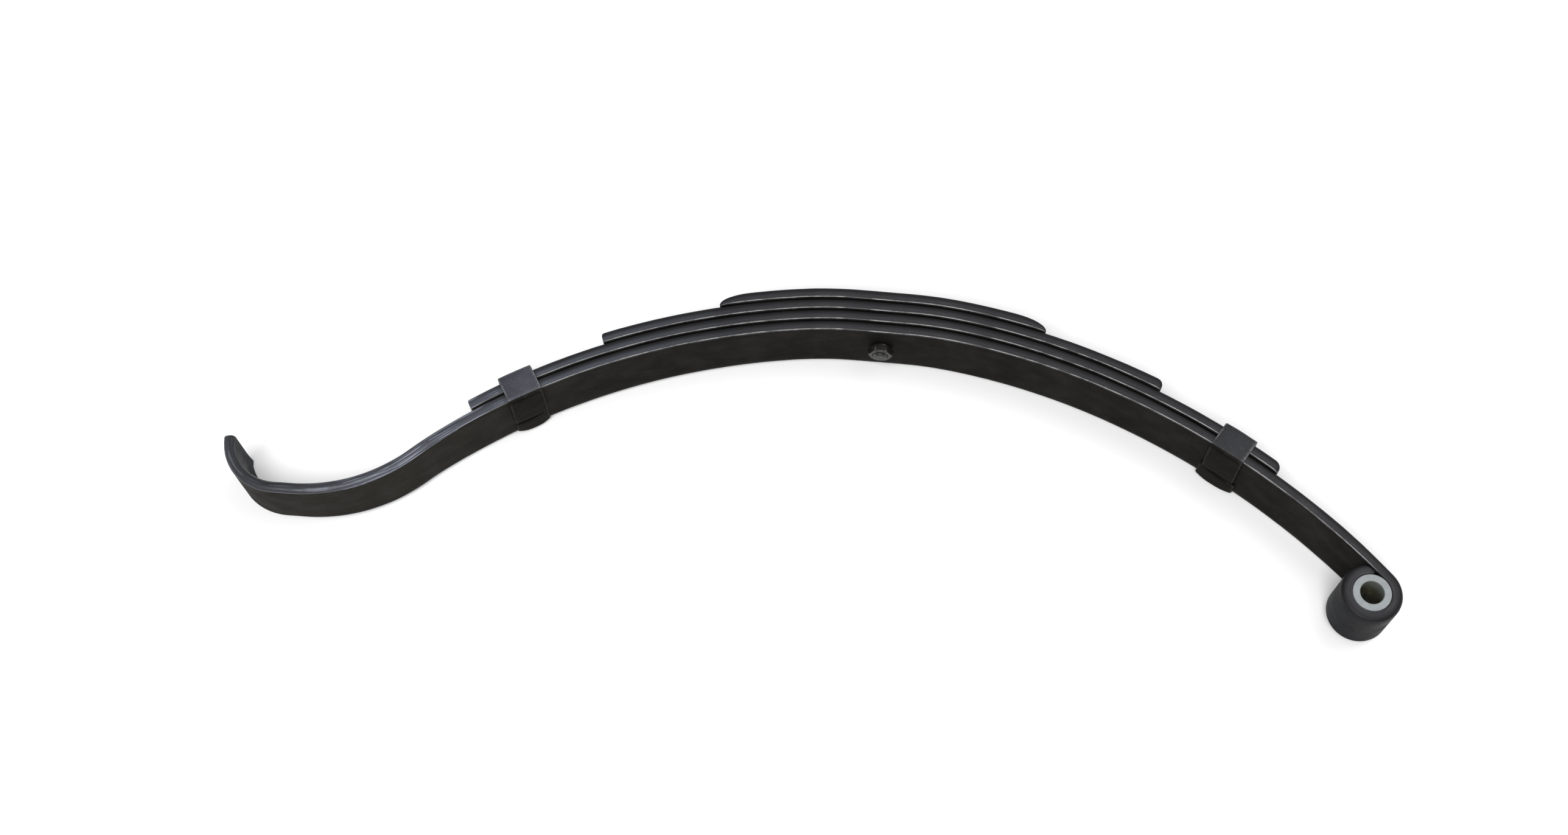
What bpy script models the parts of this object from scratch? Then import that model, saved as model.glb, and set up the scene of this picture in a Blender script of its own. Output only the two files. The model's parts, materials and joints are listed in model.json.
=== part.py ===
# Four-leaf slipper spring for a light trailer axle, lying on its side as it does on a bench.
# +X runs along the spring towards the eye, +Y towards the short leaf (the convex side) and
# +Z across the leaves.  The origin is the outer flat of the centre bolt's round head.
import bpy
import bmesh
import math
from mathutils import Vector

# ---- leaves (metres)
LEAF_W = 0.04445           # leaf width, 1 3/4 in
LEAF_T = 0.0074            # leaf thickness, near 0.29 in
LEAF_GAP = 0.0006          # paint and scale between two leaves
LEAF_COUNT = 4
CORNER_CONVEX = 0.0028     # rounded corner on the convex side of each leaf
CORNER_CONCAVE = 0.0007    # sharper corner on the concave side
END_CHAMFER = 0.0009

# ---- arch of the main leaf's concave face, from the centre bolt outwards (length, radius)
SEAT_HALF = 0.016
SEAT_CLEAR = 0.0095         # the seat is clear of the bolt head and nut beyond this
EYE_ARM = ((SEAT_HALF, 0.0), (0.036, 0.259), (0.100, 0.440), (0.2086, 0.489))
PAD_FLAT = 0.012
SLIPPER_ARM = ((SEAT_HALF, 0.0), (0.036, 0.244), (0.110, 0.459), (0.085, 0.438), (0.055, 0.391),
               (0.016, 0.213), (0.085, -0.109), (PAD_FLAT, 0.0))
HOOK_INNER_R = 0.030
HOOK_BEND = math.radians(80)
HOOK_TAIL = 0.005

# ---- half lengths of the shorter leaves along the arch (slipper side, eye side)
LEAF_2_ENDS = (0.2725, 0.2684)
LEAF_3_ENDS = (0.1795, 0.1806)
LEAF_4_ENDS = (0.1005, 0.0984)
LEAF_4_TAPER = 0.0140      # the short leaf is rounded off over this length at both ends
LEAF_4_TIP_T = 0.0016

# ---- eye and bushing
BORE_R = 0.00725           # nylon bushing for a 9/16 in bolt
BUSH_R = 0.0120
EYE_R = BUSH_R + 0.0003
EYE_TURN = math.radians(322)
EYE_NOSE = math.radians(24)
NOSE_T = 0.0030
EYE_T = 0.0068             # the leaf is drawn thinner where it is rolled
EYE_THIN = 0.040           # length over which it thins

# ---- centre bolt, 3/8 in
BOLT_R = 0.00475
BOLT_HOLE_R = 0.00505
HEAD_R = 0.0068
HEAD_H = 0.0056
NUT_AF = 0.0143
NUT_H = 0.0058
BOLT_TAIL = 0.0018

# ---- clips and their rivets
CLIP_WIDTH = 0.023
CLIP_T = 0.0030
CLIP_SIDE_GAP = 0.0004
CLIP_BEND_R = 0.0016       # inside radius of the strap's bends
HOOK_CLIP_S = -0.2388      # clip centres along the arch
EYE_CLIP_S = 0.2368
NEAR_TAB = 0.0295          # near tab reaches this far across the main leaf
FAR_TAB = 0.0125
RIVET_R = 0.0040
RIVET_HEAD_R = 0.0056
RIVET_HEAD_H = 0.0034

GAP = 0.0003
HALF_W = LEAF_W / 2
PITCH = LEAF_T + LEAF_GAP
PACK = LEAF_COUNT * LEAF_T + (LEAF_COUNT - 1) * LEAF_GAP
CONCAVE_Y = -(HEAD_H + GAP + PACK)     # main leaf's concave face at the centre bolt


def clear_scene():
    for item in list(bpy.data.objects):
        bpy.data.objects.remove(item, do_unlink=True)


def collection(name):
    group = bpy.data.collections.new(name)
    bpy.context.scene.collection.children.link(group)
    return group


def material(name, colour, roughness, metallic):
    made = bpy.data.materials.new(name)
    made.use_nodes = True
    shader = made.node_tree.nodes["Principled BSDF"]
    shader.inputs["Base Color"].default_value = (*colour, 1.0)
    shader.inputs["Roughness"].default_value = roughness
    shader.inputs["Metallic"].default_value = metallic
    made.diffuse_color = (*colour, 1.0)
    return made


def walk(arm, length):
    """Position and downward angle at a length along one arm, the seat at the start."""
    x, y, turn = 0.0, 0.0, 0.0
    left = length
    for span, radius in arm:
        step = min(span, left)
        if radius == 0.0:
            x += step * math.cos(turn)
            y -= step * math.sin(turn)
        else:
            after = turn + step / radius
            x += radius * (math.sin(after) - math.sin(turn))
            y -= radius * (math.cos(turn) - math.cos(after))
            turn = after
        left -= step
        if left <= 1e-9:
            break
    return x, y, turn


def place(s):
    """Point on the main leaf's concave face at arch length s, with the normal to the convex side."""
    side = 1.0 if s >= 0 else -1.0
    x, y, turn = walk(EYE_ARM if s >= 0 else SLIPPER_ARM, abs(s))
    return Vector((side * x, y + CONCAVE_Y)), Vector((side * math.sin(turn), math.cos(turn)))


def arm_length(arm):
    return sum(span for span, radius in arm)


def stations(low, high, step=0.0095):
    """Arch lengths from low to high, with one at every change of radius."""
    marks = [low, high, -SEAT_CLEAR, SEAT_CLEAR]
    for arm, side in ((EYE_ARM, 1.0), (SLIPPER_ARM, -1.0)):
        run = 0.0
        for span, radius in arm:
            run += span
            if low < side * run < high:
                marks.append(side * run)
    marks.sort()
    out = [marks[0]]
    for a, b in zip(marks, marks[1:]):
        count = max(1, math.ceil((b - a) / step))
        if abs(a + b) < 1e-9:
            count = 1              # the flat round the bolt hole stays one face
        for i in range(count):
            out.append(a + (b - a) * (i + 1) / count)
    return out


def eye_centre():
    point, normal = place(arm_length(EYE_ARM))
    return point - normal * EYE_R


def section(low, high, half):
    """Leaf section in (thickness, width), sharper on the concave side."""
    r = min(CORNER_CONVEX, (high - low) * 0.45)
    c = min(CORNER_CONCAVE, (high - low) * 0.3)
    pts = [(low, -half + c), (low, half - c), (low + c, half)]
    for i in range(4):
        a = math.radians(30 * i)
        pts.append((high - r + r * math.sin(a), half - r + r * math.cos(a)))
    for i in range(4):
        a = math.radians(90 - 30 * i)
        pts.append((high - r + r * math.sin(a), -half + r - r * math.cos(a)))
    pts.append((low + c, -half))
    return pts


def loft(name, rings, group, shade):
    """Closed loft through rings of the same number of points."""
    mesh = bpy.data.meshes.new(name)
    bm = bmesh.new()
    rows = [[bm.verts.new(p) for p in ring] for ring in rings]
    count = len(rings[0])
    for a, b in zip(rows, rows[1:]):
        for i in range(count):
            j = (i + 1) % count
            bm.faces.new((a[i], a[j], b[j], b[i]))
    bm.faces.new(rows[0][::-1])
    bm.faces.new(rows[-1])
    bmesh.ops.recalc_face_normals(bm, faces=bm.faces)
    bm.to_mesh(mesh)
    bm.free()
    made = bpy.data.objects.new(name, mesh)
    group.objects.link(made)
    mesh.materials.append(shade)
    mesh.shade_smooth()
    mesh.set_sharp_from_angle(angle=math.radians(28))
    return made


def ring_at(point, normal, low, high, half):
    return [Vector((point.x + normal.x * v, point.y + normal.y * v, w))
            for v, w in section(low, high, half)]


def leaf(name, ends, layer, group, shade, taper=0.0, tip=LEAF_T):
    """One of the shorter leaves, square at its ends or thinned over a short taper."""
    low, high = -ends[0], ends[1]
    base = layer * PITCH
    rings = []
    marks = stations(low + END_CHAMFER, high - END_CHAMFER)
    if taper:
        marks = [s for s in marks if low + taper < s < high - taper]
        for share in (0.09, 0.25, 0.5, 1.0):
            marks += [low + taper * share, high - taper * share]
        marks.sort()
    for s in [low] + marks + [high]:
        point, normal = place(s)
        near = min(s - low, high - s)
        top = LEAF_T
        if taper and near < taper:
            top = tip + (LEAF_T - tip) * math.sqrt(1 - (1 - near / taper) ** 2)
        cut = min(END_CHAMFER, top * 0.3) if near < 1e-9 else 0.0
        rings.append(ring_at(point, normal, base + cut * 0.6, base + top - cut, HALF_W - cut))
    return loft(name, rings, group, shade)


def main_leaf(group, shade):
    """Longest leaf: hook tail, hook bend, slipper, arch and the rolled eye."""
    rings = []
    pad, up = place(-arm_length(SLIPPER_ARM))
    outer = HOOK_INNER_R + LEAF_T
    pivot = pad + up * outer
    start = math.atan2(-up.y, -up.x)
    bend_end = start - HOOK_BEND
    arm = Vector((math.cos(bend_end), math.sin(bend_end)))
    along = Vector((arm.y, -arm.x))
    tail = pivot + arm * outer
    for reach, cut in ((HOOK_TAIL, END_CHAMFER), (HOOK_TAIL - END_CHAMFER, 0.0), (HOOK_TAIL / 2, 0.0)):
        rings.append(ring_at(tail + along * reach, -arm, cut, LEAF_T - cut, HALF_W - cut))
    for i in range(8):
        a = bend_end + HOOK_BEND * i / 8
        arm = Vector((math.cos(a), math.sin(a)))
        rings.append(ring_at(pivot + arm * outer, -arm, 0.0, LEAF_T, HALF_W))
    for s in stations(-arm_length(SLIPPER_ARM), arm_length(EYE_ARM)):
        point, normal = place(s)
        drawn = max(0.0, 1 - (arm_length(EYE_ARM) - s) / EYE_THIN)
        rings.append(ring_at(point, normal, 0.0, LEAF_T + (EYE_T - LEAF_T) * drawn, HALF_W))
    centre = eye_centre()
    first = math.atan2(normal.y, normal.x)
    steps = 34
    for i in range(1, steps + 1):
        turn = EYE_TURN * i / steps
        a = first - turn
        out = Vector((math.cos(a), math.sin(a)))
        thick = EYE_T
        over = turn - (EYE_TURN - EYE_NOSE)
        if over > 0:
            thick = NOSE_T + (EYE_T - NOSE_T) * math.cos(math.pi / 2 * over / EYE_NOSE)
        rings.append(ring_at(centre + out * EYE_R, out, 0.0, thick, HALF_W))
    return loft("main_leaf", rings, group, shade)


def turned(name, outline, steps, group, shade):
    """Closed turned solid about Z from an outline of (radius, height), outer side top to bottom."""
    mesh = bpy.data.meshes.new(name)
    closed = outline[0][0] > 1e-6
    edges = [(i, i + 1) for i in range(len(outline) - 1)]
    if closed:
        edges.append((len(outline) - 1, 0))
    mesh.from_pydata([(r, 0.0, z) for r, z in outline], edges, [])
    made = bpy.data.objects.new(name, mesh)
    group.objects.link(made)
    screw = made.modifiers.new("turn", "SCREW")
    screw.axis = "Z"
    screw.steps = steps
    screw.render_steps = steps
    screw.use_merge_vertices = True
    screw.merge_threshold = 0.00002
    screw.use_normal_calculate = True
    apply_modifiers(made)
    bm = bmesh.new()
    bm.from_mesh(made.data)
    bmesh.ops.remove_doubles(bm, verts=bm.verts, dist=0.00002)
    bmesh.ops.recalc_face_normals(bm, faces=bm.faces)
    bm.to_mesh(made.data)
    bm.free()
    made.data.materials.append(shade)
    made.data.shade_smooth()
    made.data.set_sharp_from_angle(angle=math.radians(32))
    return made


def apply_modifiers(item):
    """Bake the modifiers of an object into its mesh."""
    graph = bpy.context.evaluated_depsgraph_get()
    graph.update()
    fresh = bpy.data.meshes.new_from_object(item.evaluated_get(graph))
    item.modifiers.clear()
    old = item.data
    item.data = fresh
    bpy.data.meshes.remove(old)
    fresh.name = item.name


def cut(target, tool):
    hole = target.modifiers.new("cut", "BOOLEAN")
    hole.operation = "DIFFERENCE"
    hole.solver = "EXACT"
    hole.object = tool


def drill(name, radius, low, high, centre, tilt, tools):
    """Cutter cylinder along an object's Y axis."""
    bpy.ops.mesh.primitive_cylinder_add(vertices=32, radius=radius, depth=high - low)
    made = bpy.context.object
    made.name = name
    for owner in list(made.users_collection):
        owner.objects.unlink(made)
    tools.objects.link(made)
    axis = Vector((-math.sin(tilt), math.cos(tilt), 0.0))
    middle = Vector((centre[0], centre[1], 0.0)) + axis * (low + high) / 2
    made.rotation_mode = "QUATERNION"
    made.rotation_quaternion = axis.to_track_quat("Z", "Y")
    made.location = middle
    made.hide_render = True
    made.display_type = "WIRE"
    return made


def strap_outline():
    """Clip strap in (thickness direction, width), as inner and outer offsets of one bent line."""
    inner_w = HALF_W + CLIP_SIDE_GAP
    low = -GAP
    high = PITCH + LEAF_T + GAP
    r = CLIP_BEND_R
    near_end = inner_w - NEAR_TAB
    far_end = -inner_w + FAR_TAB
    path = [((low, near_end), (-1.0, 0.0))]
    for cv, cw, start in ((low + r, inner_w - r, 180), (high - r, inner_w - r, 90),
                          (high - r, -inner_w + r, 0), (low + r, -inner_w + r, -90)):
        for i in range(5):
            a = math.radians(start - 22.5 * i)
            n = (math.cos(a), math.sin(a))
            path.append(((cv + r * n[0], cw + r * n[1]), n))
    path.append(((low, far_end), (-1.0, 0.0)))
    inner = [p for p, n in path]
    outer = [(p[0] + n[0] * CLIP_T, p[1] + n[1] * CLIP_T) for p, n in path]
    return inner, outer


def clip(name, s, group, shade):
    """Strap bent round leaf 2 and the main leaf, its ends folded over the concave face."""
    inner, outer = strap_outline()
    point, normal = place(s)
    tilt = math.atan2(-normal.x, normal.y)
    half = CLIP_WIDTH / 2
    edge = 0.0005
    mesh = bpy.data.meshes.new(name)
    bm = bmesh.new()
    rows = []
    for (iv, iw), (ov, ow) in zip(inner, outer):
        dv, dw = (ov - iv) * edge / CLIP_T, (ow - iw) * edge / CLIP_T
        ring = [(-half, iv, iw), (half, iv, iw), (half, ov - dv, ow - dw),
                (half - edge, ov, ow), (-half + edge, ov, ow), (-half, ov - dv, ow - dw)]
        rows.append([bm.verts.new(p) for p in ring])
    for a, b in zip(rows, rows[1:]):
        for i in range(6):
            j = (i + 1) % 6
            bm.faces.new((a[i], a[j], b[j], b[i]))
    bm.faces.new(rows[0][::-1])
    bm.faces.new(rows[-1])
    bmesh.ops.recalc_face_normals(bm, faces=bm.faces)
    bm.to_mesh(mesh)
    bm.free()
    made = bpy.data.objects.new(name, mesh)
    group.objects.link(made)
    made.location = (point.x, point.y, 0.0)
    made.rotation_euler = (0.0, 0.0, tilt)
    mesh.materials.append(shade)
    mesh.shade_smooth()
    mesh.set_sharp_from_angle(angle=math.radians(30))
    return made, point, tilt


def rivet(name, point, tilt, group, shade):
    """Domed rivet head on the clip, with its shank through the clip and leaf 2."""
    top = PITCH + LEAF_T + GAP + CLIP_T + GAP
    outline = [(0.0, RIVET_HEAD_H)]
    for i in range(1, 7):
        a = math.radians(90 * i / 6)
        outline.append((RIVET_HEAD_R * math.sin(a), RIVET_HEAD_H * (0.12 + 0.88 * math.cos(a))))
    outline += [(RIVET_HEAD_R * 0.97, 0.0), (RIVET_R - GAP, 0.0), (RIVET_R - GAP, PITCH - top),
                (0.0, PITCH - top)]
    made = turned(name, outline, 28, group, shade)
    axis = Vector((-math.sin(tilt), math.cos(tilt), 0.0))
    made.rotation_mode = "QUATERNION"
    made.rotation_quaternion = axis.to_track_quat("Z", "Y")
    made.location = Vector((point.x, point.y, 0.0)) + axis * top
    return made


def centre_bolt(group, shade):
    """Round-headed centre bolt; the head's outer flat is the origin."""
    end = -(HEAD_H + GAP + PACK + GAP + NUT_H + BOLT_TAIL)
    outline = [(0.0, 0.0), (HEAD_R - 0.0012, 0.0), (HEAD_R - 0.0004, -0.0004), (HEAD_R, -0.0013),
               (HEAD_R, -HEAD_H), (BOLT_R, -HEAD_H), (BOLT_R, end + 0.0010), (BOLT_R - 0.0010, end),
               (0.0, end)]
    made = turned("centre_bolt", outline, 32, group, shade)
    made.rotation_euler = (-math.pi / 2, 0.0, 0.0)
    return made


def centre_nut(group, tools, shade):
    """Hex nut on the main leaf's concave face."""
    bpy.ops.mesh.primitive_cylinder_add(vertices=6, radius=NUT_AF / math.sqrt(3), depth=NUT_H)
    made = bpy.context.object
    made.name = "centre_nut"
    made.data.name = "centre_nut"
    for owner in list(made.users_collection):
        owner.objects.unlink(made)
    group.objects.link(made)
    made.rotation_euler = (-math.pi / 2, 0.0, 0.0)
    made.location = (0.0, CONCAVE_Y - GAP - NUT_H / 2, 0.0)
    made.data.materials.append(shade)
    soft = made.modifiers.new("edges", "BEVEL")
    soft.width = 0.0006
    soft.segments = 1
    soft.limit_method = "ANGLE"
    soft.angle_limit = math.radians(40)
    bore = drill("nut_bore_cutter", BOLT_R + GAP, CONCAVE_Y - 0.02, CONCAVE_Y + 0.001, (0, 0), 0.0, tools)
    cut(made, bore)
    return made


def bushing(group, shade):
    """Nylon sleeve in the eye, flush with the leaf's side edges."""
    centre = eye_centre()
    c = 0.0005
    z = HALF_W
    outline = [(BORE_R + c, z), (BUSH_R - c, z), (BUSH_R, z - c), (BUSH_R, -z + c), (BUSH_R - c, -z),
               (BORE_R + c, -z), (BORE_R, -z + c), (BORE_R, z - c)]
    made = turned("eye_bushing", outline, 48, group, shade)
    made.location = (centre.x, centre.y, 0.0)
    return made


def build():
    clear_scene()
    parts = collection("leaf_spring")
    tools = collection("cutters")
    paint = material("spring_paint", (0.035, 0.036, 0.040), 0.38, 0.25)
    paint_2 = material("leaf_2_paint", (0.038, 0.039, 0.043), 0.40, 0.25)
    paint_3 = material("leaf_3_paint", (0.040, 0.041, 0.045), 0.42, 0.25)
    paint_4 = material("leaf_4_paint", (0.034, 0.036, 0.042), 0.36, 0.25)
    strap = material("clip_paint", (0.030, 0.031, 0.034), 0.34, 0.30)
    bolt_paint = material("bolt_paint", (0.050, 0.050, 0.052), 0.40, 0.45)
    nut_paint = material("nut_paint", (0.046, 0.045, 0.044), 0.42, 0.45)
    rivet_paint = material("rivet_paint", (0.036, 0.036, 0.040), 0.33, 0.35)
    nylon = material("nylon", (0.55, 0.57, 0.56), 0.45, 0.0)

    leaf_1 = main_leaf(parts, paint)
    leaf_2 = leaf("leaf_2", LEAF_2_ENDS, 1, parts, paint_2)
    leaf_3 = leaf("leaf_3", LEAF_3_ENDS, 2, parts, paint_3)
    leaf_4 = leaf("leaf_4", LEAF_4_ENDS, 3, parts, paint_4, LEAF_4_TAPER, LEAF_4_TIP_T)
    through = drill("bolt_hole_cutter", BOLT_HOLE_R, -0.06, 0.01, (0, 0), 0.0, tools)
    for item in (leaf_1, leaf_2, leaf_3, leaf_4):
        cut(item, through)
    centre_bolt(parts, bolt_paint)
    centre_nut(parts, tools, nut_paint)
    for label, s in (("hook_clip", HOOK_CLIP_S), ("eye_clip", EYE_CLIP_S)):
        band, point, tilt = clip(label, s, parts, strap)
        hole = drill(label + "_cutter", RIVET_R, PITCH - 0.002, 0.03, (point.x, point.y), tilt, tools)
        cut(band, hole)
        cut(leaf_2, hole)
        rivet(label + "_rivet", point, tilt, parts, rivet_paint)
    bushing(parts, nylon)


build()
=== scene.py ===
# Looks for the four-leaf slipper spring: detailed leaves, clips, rivets, bolt, nut and bushing
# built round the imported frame, lying on its side on a pale floor.
import bmesh
import bpy
import json
import math
from mathutils import Matrix, Vector, noise


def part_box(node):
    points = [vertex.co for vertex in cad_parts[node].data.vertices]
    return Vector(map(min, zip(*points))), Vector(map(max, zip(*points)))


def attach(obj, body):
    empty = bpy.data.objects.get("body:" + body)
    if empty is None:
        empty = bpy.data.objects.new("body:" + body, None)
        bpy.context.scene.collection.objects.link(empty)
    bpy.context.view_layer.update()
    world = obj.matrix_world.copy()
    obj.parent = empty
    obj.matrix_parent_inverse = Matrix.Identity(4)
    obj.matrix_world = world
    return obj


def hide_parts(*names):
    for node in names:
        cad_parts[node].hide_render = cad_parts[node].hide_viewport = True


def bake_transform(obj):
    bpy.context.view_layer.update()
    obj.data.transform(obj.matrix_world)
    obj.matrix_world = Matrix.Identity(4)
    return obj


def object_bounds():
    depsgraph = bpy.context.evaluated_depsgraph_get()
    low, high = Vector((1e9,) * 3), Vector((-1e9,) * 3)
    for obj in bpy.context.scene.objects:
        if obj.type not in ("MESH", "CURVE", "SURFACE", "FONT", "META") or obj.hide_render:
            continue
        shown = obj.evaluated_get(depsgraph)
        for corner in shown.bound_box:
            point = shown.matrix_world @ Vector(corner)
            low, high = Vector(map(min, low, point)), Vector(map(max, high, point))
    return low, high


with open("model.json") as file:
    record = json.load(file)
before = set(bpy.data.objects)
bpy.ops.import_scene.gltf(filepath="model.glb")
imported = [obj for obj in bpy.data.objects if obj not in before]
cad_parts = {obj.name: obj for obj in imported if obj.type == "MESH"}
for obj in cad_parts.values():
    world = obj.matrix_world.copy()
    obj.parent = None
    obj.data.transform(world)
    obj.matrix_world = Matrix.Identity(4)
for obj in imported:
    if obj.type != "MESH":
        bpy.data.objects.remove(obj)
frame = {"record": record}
cad_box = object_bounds()
record = frame["record"]
mounts = {m["name"]: m for m in record["mounts"]}
joints = {j["name"]: j for j in record["behaviour"]["joints"]}

# ---- sizes shared with the CAD (metres)
LEAF_W = 0.04445
LEAF_T = 0.0074
LEAF_GAP = 0.0006
SEAT_HALF = 0.016
PAD_FLAT = 0.012
EYE_ARM = ((SEAT_HALF, 0.0), (0.036, 0.259), (0.100, 0.440), (0.2086, 0.489))
SLIPPER_ARM = ((SEAT_HALF, 0.0), (0.036, 0.244), (0.110, 0.459), (0.085, 0.438), (0.055, 0.391),
               (0.016, 0.213), (0.085, -0.109), (PAD_FLAT, 0.0))
HOOK_INNER_R = 0.030
HOOK_BEND = math.radians(80)
HOOK_TAIL = 0.005
LEAF_2_ENDS = (0.2725, 0.2684)
LEAF_3_ENDS = (0.1795, 0.1806)
BORE_R = 0.00725
BUSH_R = 0.0120
EYE_R = BUSH_R + 0.0003
EYE_TURN = math.radians(322)
EYE_NOSE = math.radians(24)
NOSE_T = 0.0030
EYE_T = 0.0068
EYE_THIN = 0.040
BOLT_R = 0.00475
BOLT_HOLE_R = 0.00505
CLIP_WIDTH = 0.023
CLIP_T = 0.0030
CLIP_SIDE_GAP = 0.0004
HOOK_CLIP_S = -0.2388
EYE_CLIP_S = 0.2368
NEAR_TAB = 0.0295
FAR_TAB = 0.0125
RIVET_R = 0.0040
RIVET_HEAD_R = 0.0056
RIVET_HEAD_H = 0.0034
GAP = 0.0003
HALF_W = LEAF_W / 2
PITCH = LEAF_T + LEAF_GAP
CONCAVE_Y = mounts["tie_plate_seat"]["pos_m"][1]
EYE_CENTRE = Vector(joints["bushing_turn"]["pos_m"][:2])

# ---- finish detail
LEAF_4_ENDS = (0.1030, 0.1015)      # feathered tips, 2.5 to 3 mm past the CAD leaf's blunter ones
LEAF_4_TAPER = 0.0200
LEAF_4_TIP_T = 0.0010
CORNER_CONVEX = 0.0031     # rolled corner towards the convex side
CORNER_CONCAVE = 0.0005    # crisp corner, rubbed bare, that carries a painted highlight line
SLIPPER_SOFT = 0.0022      # extra rounding of the concave corners along the slipper
SOFT_FROM = -0.262         # arch length where that rounding starts
SOFT_OVER = 0.060          # length over which it grows to its full size
TAIL_ROUND = 0.0013        # rounding of the hook's cut end
TAIL_FILLET = 0.0012       # swelling of the hook's inner face along its far edge, at the cut end
HOOK_FILLET = 0.0045       # and in the middle of the bend
EYE_FAR_CUT = 0.0056       # the eye's outer face is this much narrower at its far edge
END_CRISP = 0.0004         # small break of a leaf's cut end
TIP_BREAK = 0.0003         # the same under a thinned tip
TIP_INSET = 0.0014         # how much narrower a thinned tip is on each side
EDGE_BAND = 0.0030         # strip along each edge that came out uneven from the shears
RUB_WIDTH = 0.0016         # reach of the bright line along the concave corners: rubbed paint and painted highlight
SHOULDER_WIDTH = 0.0050    # reach of the painted shade along the rolled convex corners
ARCH_R = 0.45              # mean bend radius of the arch under the clips
STATION = 0.003            # spacing of the loft stations
HOLE_HALF = 0.006          # half side of the regular patch round each hole
HOLE_COLUMNS = (-HOLE_HALF, -HOLE_HALF / 2, 0.0, HOLE_HALF / 2, HOLE_HALF)


# ---------------------------------------------------------------- shared shape helpers
def walk(arm, length):
    """Follow an arm of (length, radius) bends: x, y and heading; radius 0 is a straight stretch."""
    x, y, turn = 0.0, 0.0, 0.0
    left = length
    for span, radius in arm:
        step = min(span, left)
        if radius == 0.0:
            x += step * math.cos(turn)
            y -= step * math.sin(turn)
        else:
            after = turn + step / radius
            x += radius * (math.sin(after) - math.sin(turn))
            y -= radius * (math.cos(turn) - math.cos(after))
            turn = after
        left -= step
        if left <= 1e-9:
            break
    return x, y, turn


def place(s):
    """Point on the main leaf's concave face at arch length s, and the normal to the convex side."""
    side = 1.0 if s >= 0 else -1.0
    x, y, turn = walk(EYE_ARM if s >= 0 else SLIPPER_ARM, abs(s))
    return Vector((side * x, y + CONCAVE_Y)), Vector((side * math.sin(turn), math.cos(turn)))


def arm_length(arm):
    """Length of an arm along the main leaf's concave face."""
    return sum(span for span, radius in arm)


def ripple(s, w, v, size, seed):
    """Smooth noise whose waves are about size long."""
    return noise.noise(Vector((s / size + seed * 7.31, w / size, v / size + seed * 3.7)))


def new_mesh(name, verts, faces, sharp, slots=None):
    """Closed mesh facing outwards, smooth up to the sharp angle in degrees; slots is per face."""
    mesh = bpy.data.meshes.new(name)
    mesh.from_pydata([tuple(v) for v in verts], [], faces)
    mesh.validate(clean_customdata=False)
    made = bpy.data.objects.new(name, mesh)
    bpy.context.scene.collection.objects.link(made)
    mesh.shade_smooth()
    face_outwards(mesh)
    if slots:
        mesh.polygons.foreach_set("material_index", slots)
    mesh.set_sharp_from_angle(angle=math.radians(sharp))
    return made


def face_outwards(mesh):
    """Turn every face of a closed mesh outwards."""
    bm = bmesh.new()
    bm.from_mesh(mesh)
    bmesh.ops.recalc_face_normals(bm, faces=bm.faces)
    bm.to_mesh(mesh)
    bm.free()


def point_values(item, name, values):
    """Store one number per vertex for the materials."""
    layer = item.data.attributes.new(name, "FLOAT", "POINT")
    layer.data.foreach_set("value", values)


def point_vectors(item, name, values):
    """Store one vector per vertex for the materials."""
    layer = item.data.attributes.new(name, "FLOAT_VECTOR", "POINT")
    layer.data.foreach_set("vector", [c for v in values for c in v])


# ---------------------------------------------------------------- leaves
FLAT_STEPS = (HOLE_HALF / 2, HOLE_HALF, 0.0085, 0.0110, 0.0140, 0.0171)
FLAT_W = (*(-w for w in reversed(FLAT_STEPS)), 0.0, *FLAT_STEPS)    # columns across the flat faces


def leaf_section(c=CORNER_CONCAVE):
    """Closed leaf section as (thickness, width); c is the radius of the concave corners."""
    r = CORNER_CONVEX
    half = HALF_W
    pts = []
    for w in (-half + c, *FLAT_W, half - c):
        pts.append((0.0, w))
    for i in (1, 2, 3):
        a = math.radians(30 * i)
        pts.append((c - c * math.cos(a), half - c + c * math.sin(a)))
    for k in (1, 2, 3):
        pts.append((c + (LEAF_T - r - c) * k / 4, half))
    for i in range(7):
        a = math.radians(15 * i)
        pts.append((LEAF_T - r + r * math.sin(a), half - r + r * math.cos(a)))
    for w in reversed(FLAT_W):
        pts.append((LEAF_T, w))
    for i in range(7):
        a = math.radians(90 - 15 * i)
        pts.append((LEAF_T - r + r * math.sin(a), -half + r - r * math.cos(a)))
    for k in (3, 2, 1):
        pts.append((c + (LEAF_T - r - c) * k / 4, -half))
    for i in (3, 2, 1):
        a = math.radians(30 * i)
        pts.append((c - c * math.cos(a), -half + c - c * math.sin(a)))
    return pts


CONCAVE, EDGE, CONVEX = 0, 1, 2      # material slots of a leaf
SECTION = leaf_section()
COLUMN_COUNT = len(SECTION)
CONCAVE_COLUMNS = {round(w, 5): 1 + i for i, w in enumerate(FLAT_W)}
CONVEX_COLUMNS = {}
for index, (thick, across) in enumerate(SECTION):
    if abs(thick - LEAF_T) < 1e-9 and round(across, 5) in CONCAVE_COLUMNS:
        CONVEX_COLUMNS[round(across, 5)] = index


def fine_stations(low, high, holes):
    """Arch lengths every few millimetres, with a small regular patch round each hole."""
    marks = [low, high]
    for s, r in holes:
        marks += [s - HOLE_HALF, s + HOLE_HALF]
    for arm, side in ((EYE_ARM, 1.0), (SLIPPER_ARM, -1.0)):
        run = 0.0
        for span, radius in arm:
            run += span
            if low < side * run < high and all(abs(side * run - s) > HOLE_HALF + 0.001 for s, r in holes):
                marks.append(side * run)
    marks.sort()
    out = [marks[0]]
    for a, b in zip(marks, marks[1:]):
        count = max(1, round((b - a) / STATION))
        out += [a + (b - a) * (i + 1) / count for i in range(count)]
    return out


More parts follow.
